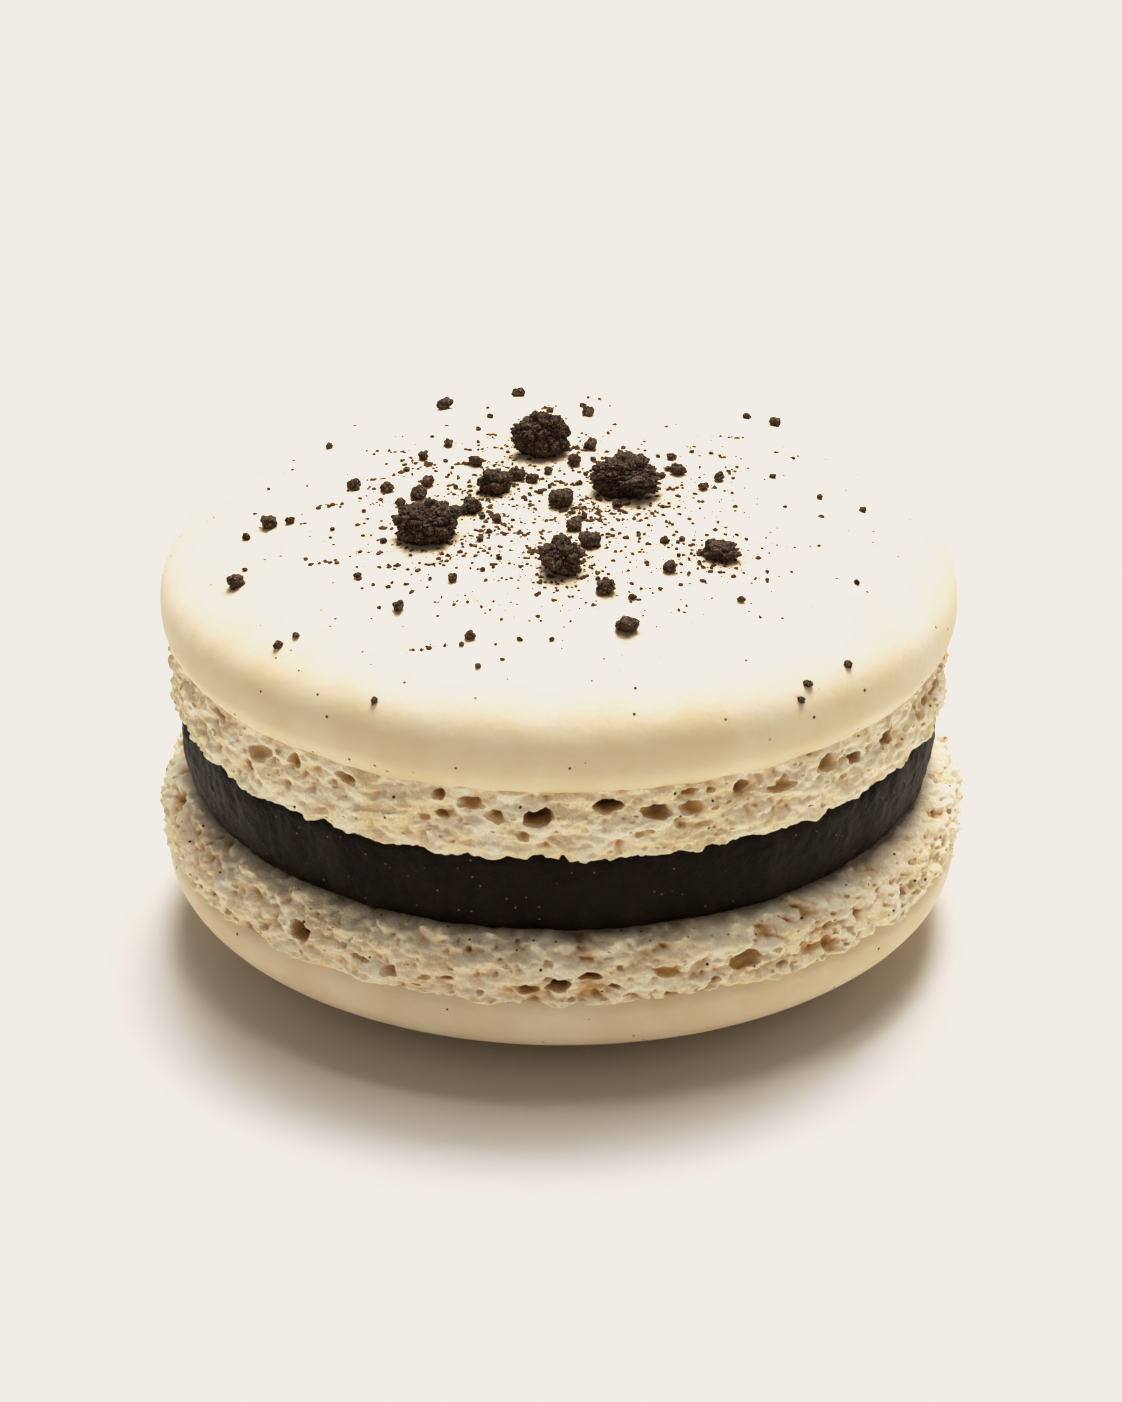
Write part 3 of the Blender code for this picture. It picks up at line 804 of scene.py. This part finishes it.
# Painted shadow and smudge round the large crumbs: strongest at their edge, fading outwards, on the cap's top
# only
smudges_and_shadows = []
for vertex in upper_cap.data.vertices:
    strength = 0.0
    for x, y, width, _, _, _ in LARGE_CRUMBS:
        gap = math.hypot(vertex.co.x - LAYERS_SHIFT - x * MM, vertex.co.y - y * MM) / MM - width / 2
        strength = max(strength, math.exp(-((max(gap, 0.0) / (SMUDGE_AND_SHADOW_REACH * width)) ** 2)))
    smudges_and_shadows.append(SMUDGE_AND_SHADOW_STRENGTH * strength if vertex.co.z > UPPER_CAP_LOW + UPPER_WIDEST else 0.0)
upper_cap.data.attributes.new("dusted_and_shaded", "FLOAT", "POINT").data.foreach_set("value", smudges_and_shadows)

# Small crumbs
# What fell from the larger crumbs as they were broken: grains about a millimetre and less. The ones that
# stand out are placed: across, back and width in mm. The rest are scattered, thickest in the middle.
PLACED_CRUMBS = (
    (0.8, -4.7, 1.0),
    (1.7, -6.6, 1.3),
    (6.7, 3.0, 1.0),
    (9.0, 2.4, 0.75),
    (8.1, 1.0, 0.65),
    (6.0, -9.4, 0.85),
    (5.8, -6.1, 0.6),
    (-8.6, -13.0, 0.9),
    (-5.7, -10.5, 0.7),
    (-6.7, 14.9, 1.0),
    (-2.4, 17.6, 0.8),
    (1.7, 12.4, 0.8),
    (1.8, 6.7, 1.0),
    (0.9, 4.2, 1.0),
    (-2.4, 2.2, 1.1),
    (-1.5, 1.7, 0.8),
    (-4.7, 4.2, 0.9),
    (-7.4, 1.5, 0.9),
    (-7.8, -0.2, 1.1),
    (-8.8, -1.1, 0.7),
    (-9.6, 1.0, 0.85),
    (-11.5, 1.7, 0.85),
    (-6.3, 7.3, 0.7),
    (-7.7, 5.4, 0.7),
    (12.6, 14.0, 0.75),
    (15.4, -15.0, 0.55),
    (13.2, -17.1, 0.55),
    (12.8, -17.9, 0.55),
    (-15.0, -14.1, 0.6),
    (-4.7, -16.0, 0.65),
    (-9.7, -19.2, 0.5),
    (17.0, 0.5, 0.45),
    (-10.9, -9.4, 0.5),
    (-3.4, -3.6, 0.65),
    (9.8, -12.0, 0.5),
    (-14.9, -2.0, 0.6),
    (-17.3, -2.9, 0.55),
    (6.4, 5.2, 0.6),
    (11.0, 14.6, 0.55),
    (16.2, -8.3, 0.4),
    (-0.6, 2.9, 0.6),
    (3.2, -1.6, 0.6),
    (1.4, -3.2, 0.5),
    (14.6, 1.2, 0.4),
    (-13.2, 8.8, 0.5),
)
PLACED_DEPTH = (0.7, 1.0)
PLACED_HEIGHT = 0.7
SCATTERED_CRUMBS = 100
SCATTERED_ACROSS = (-0.5, 7.0)
SCATTERED_BACK = (-1.5, 8.0)
SCATTERED_WIDTH = (0.2, 0.5)
SCATTERED_FINENESS = 2
SCATTERED_DEPTH = (0.5, 1.0)
SCATTERED_HEIGHT = 0.6
MOST_TURN = 90
CRUMB_REACH = 20.5
CRUMB_SEED = 12
SMALL_SEEDS_FROM = 20
draw = random.Random(CRUMB_SEED)
small_shape = bmesh.new()
spots = [(x, y, width) for x, y, width, _, _, _ in LARGE_CRUMBS]
for x, y, width in PLACED_CRUMBS:
    spots.append((x, y, width))
    depth = width * draw.uniform(*PLACED_DEPTH)
    turn = draw.uniform(-MOST_TURN, MOST_TURN)
    seed = SMALL_SEEDS_FROM + len(spots)
    drop_crumb(small_shape, x, y, width, depth, width * PLACED_HEIGHT, turn, CRUMB_DIVISIONS, seed)
wanted = len(spots) + SCATTERED_CRUMBS
while len(spots) < wanted:
    x, y = draw.gauss(*SCATTERED_ACROSS), draw.gauss(*SCATTERED_BACK)
    wider = (SCATTERED_WIDTH[1] - SCATTERED_WIDTH[0]) * draw.random() ** SCATTERED_FINENESS
    width = SCATTERED_WIDTH[0] + wider
    touching = any(math.hypot(x - a, y - b) < (width + w) / 2 for a, b, w in spots)
    if touching or math.hypot(x, y) > CRUMB_REACH:
        continue
    spots.append((x, y, width))
    depth = width * draw.uniform(*SCATTERED_DEPTH)
    turn = draw.uniform(-MOST_TURN, MOST_TURN)
    seed = SMALL_SEEDS_FROM + len(spots)
    drop_crumb(small_shape, x, y, width, depth, width * SCATTERED_HEIGHT, turn, CRUMB_DIVISIONS - 1, seed)
bmesh.ops.translate(small_shape, vec=(LAYERS_SHIFT, 0.0, 0.0), verts=small_shape.verts)
small_crumbs = piece("small_crumbs", small_shape, cookie, SMOOTH_ALL_OVER)
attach(small_crumbs, "root")

# Cookie dust
# The finest of the broken cookie: flecks of half a millimetre and less, thinly all over, in drifts round
# the large crumbs and in short streaks. Thin enough to look brown where the crumbs look black.
DUST_SPECKS = 3200
DUST_WIDTH = (0.06, 0.36)
DUST_FINENESS = 2.4
DUST_COLOURS = ("2E2018", "66482F")
DUST_MOTTLE = 0.3 * MM
DUST_SHARP_ANGLE = 30

# Where it lies in mm, as middle and spread: a third of it all over, a third round the first of the large
# crumbs, spread as shares of their width, and a third in streaks.
DUST_ACROSS = (-0.5, 5.5)
DUST_BACK = (-3.0, 6.0)
DUSTY_CRUMBS = 8
DRIFT_SPREAD = (0.55, 0.5)
STREAKS = 70
STREAKS_ACROSS = (-1.0, 6.0)
STREAKS_BACK = (-2.0, 7.0)
STREAK_LENGTH = (0.2, 1.2)
STREAK_BREADTH = (0.1, 0.35)

# A fleck's corners, length and height as shares of its width
FLECK_CORNERS = (0.6, 1.3)
FLECK_LENGTH = (0.7, 1.4)
FLECK_HEIGHT = 0.9


def ground_cookie():
    """Cookie crushed to dust: matt brown."""
    material = new_material("ground cookie dust")
    place = add(material, "TexCoord", {}, "Object")
    mottle = add(material, "TexNoise", {"Vector": place, "Scale": 1 / DUST_MOTTLE})
    dark, light = (colour(code) for code in DUST_COLOURS)
    base = add(material, "Mix", {"data_type": "RGBA", 0: mottle, 6: dark, 7: light})
    sockets = {"Base Color": base, "Roughness": 0.9, "Specular IOR Level": 0.2}
    shader = add(material, "BsdfPrincipled", sockets)
    add(material, "OutputMaterial", {"Surface": shader})
    return material


def drop_fleck(shape, x, y, width, draw):
    """Adds one angular fleck of dust to a bmesh."""
    fleck = bmesh.new()
    bmesh.ops.create_icosphere(fleck, subdivisions=1, radius=0.5)
    for vertex in fleck.verts:
        vertex.co *= draw.uniform(*FLECK_CORNERS)
    length = width * draw.uniform(*FLECK_LENGTH)
    stretch = Matrix.Diagonal((length * MM, width * MM, width * FLECK_HEIGHT * MM, 1.0))
    turn = Matrix.Rotation(draw.uniform(0, math.pi), 4, "Z")
    place = Matrix.Translation((x * MM, y * MM, cap_height(x * MM, y * MM)))
    bmesh.ops.transform(fleck, matrix=place @ turn @ stretch, verts=fleck.verts)
    join(shape, fleck)


streaks = []
for _ in range(STREAKS):
    middle = (draw.gauss(*STREAKS_ACROSS), draw.gauss(*STREAKS_BACK))
    streaks.append(middle + (draw.uniform(*STREAK_LENGTH), draw.uniform(*STREAK_BREADTH)))
dust_shape = bmesh.new()
for number in range(DUST_SPECKS):
    if number % 3 == 0:
        x, y = draw.gauss(*DUST_ACROSS), draw.gauss(*DUST_BACK)
    elif number % 3 == 1:
        crumb_x, crumb_y, crumb_width = LARGE_CRUMBS[draw.randrange(DUSTY_CRUMBS)][:3]
        x = crumb_x + draw.gauss(0, DRIFT_SPREAD[0] * crumb_width)
        y = crumb_y + draw.gauss(0, DRIFT_SPREAD[1] * crumb_width)
    else:
        middle_x, middle_y, along, aside = streaks[draw.randrange(STREAKS)]
        x, y = middle_x + draw.gauss(0, along), middle_y + draw.gauss(0, aside)
    width = DUST_WIDTH[0] + (DUST_WIDTH[1] - DUST_WIDTH[0]) * draw.random() ** DUST_FINENESS
    if math.hypot(x, y) < CRUMB_REACH:
        drop_fleck(dust_shape, x, y, width, draw)
bmesh.ops.translate(dust_shape, vec=(LAYERS_SHIFT, 0.0, 0.0), verts=dust_shape.verts)
crumb_dust = piece("crumb_dust", dust_shape, ground_cookie(), DUST_SHARP_ANGLE)
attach(crumb_dust, "root")

# Floor, light and camera
# A pale seamless sheet under a large soft light, high and behind, and a weaker one overhead. The room's own
# light comes from all round. Each lamp is its place, its size and its power in watts.
FLOOR_SIZE = 3.0
FLOOR_COLOUR = "E0DBD4"
PAPER_TOOTH = 2.0 * MM
ROOM_LIGHT = 0.45
LAMPS = {
    "key": ((0.06, 0.32, 0.70), (0.4, 0.4), 14.5),
    "overhead": ((0.05, 0.10, 0.80), (0.5, 0.4), 8.5),
}
LAMP_AIM = Vector((0.0, 0.0, 0.01))


def paper():
    """Seamless photographic paper: matt and even."""
    material = new_material("seamless paper")
    place = add(material, "TexCoord", {}, "Object")
    tooth = add(material, "TexNoise", {"Vector": place, "Scale": 1 / PAPER_TOOTH})
    normal = add(material, "Bump", {"Height": tooth, "Strength": 0.05, "Distance": 0.05 * MM})
    sockets = {"Base Color": colour(FLOOR_COLOUR), "Normal": normal, "Roughness": 0.9}
    shader = add(material, "BsdfPrincipled", sockets)
    add(material, "OutputMaterial", {"Surface": shader})
    return material


floor_shape = bmesh.new()
bmesh.ops.create_grid(floor_shape, x_segments=1, y_segments=1, size=FLOOR_SIZE)
floor = piece("floor", floor_shape, paper())

world = bpy.data.worlds.new("room")
bpy.context.scene.world = world
world.use_nodes = True
world.node_tree.nodes["Background"].inputs["Color"].default_value = colour("FFFFFF")
world.node_tree.nodes["Background"].inputs["Strength"].default_value = ROOM_LIGHT

for name, (place, size, power) in LAMPS.items():
    lamp = bpy.data.lights.new(name, "AREA")
    lamp.shape = "RECTANGLE"
    lamp.size, lamp.size_y = size
    lamp.energy = power
    holder = bpy.data.objects.new(name, lamp)
    bpy.context.scene.collection.objects.link(holder)
    holder.location = place
    holder.rotation_euler = (LAMP_AIM - Vector(place)).to_track_quat("-Z", "Y").to_euler()

# Everything brightly lit runs up to one warm white. Red, green and blue get there by their own curves, given
# as shares of that white at two levels: blue stays low in the half tones and is lifted in the highlights.
BRIGHTEST = 1.8
WHITE = "F1ECE5"
HALF_TONE = (0.38, (0.385, 0.38, 0.375))
HIGHLIGHT = (0.80, (0.82, 0.86, 0.93))
view = bpy.context.scene.view_settings
view.view_transform = "Standard"
view.use_curve_mapping = True
view.curve_mapping.extend = "HORIZONTAL"
view.curve_mapping.white_level = (BRIGHTEST, BRIGHTEST, BRIGHTEST)
for number, white in enumerate(colour(WHITE)[:3]):
    curve = view.curve_mapping.curves[number]
    curve.points[-1].location = (1.0, white)
    for level, shares in (HALF_TONE, HIGHLIGHT):
        curve.points.new(level, shares[number] * white)
    for point in curve.points:
        point.handle_type = "AUTO_CLAMPED"
view.curve_mapping.update()

# The camera looks down a little. The photo's height and its scale, both in pixels, set the lens.
FRAME_TALL = 1402
PIXELS_PER_MM = 17.57
CAMERA_DISTANCE = 0.280
CAMERA_ELEVATION = math.radians(26.4)
AIM = Vector((-0.000085, 0.0, 0.01315))
SENSOR = 36.0
NEAREST_SEEN = 0.01
lens = bpy.data.cameras.new("camera")
lens.sensor_width = SENSOR
lens.lens = PIXELS_PER_MM * CAMERA_DISTANCE / MM * SENSOR / FRAME_TALL
lens.clip_start = NEAREST_SEEN
camera = bpy.data.objects.new("camera", lens)
bpy.context.scene.collection.objects.link(camera)
back = Vector((0.0, -math.cos(CAMERA_ELEVATION), math.sin(CAMERA_ELEVATION)))
camera.location = AIM + back * CAMERA_DISTANCE
camera.rotation_euler = (-back).to_track_quat("-Z", "Y").to_euler()
bpy.context.scene.camera = camera
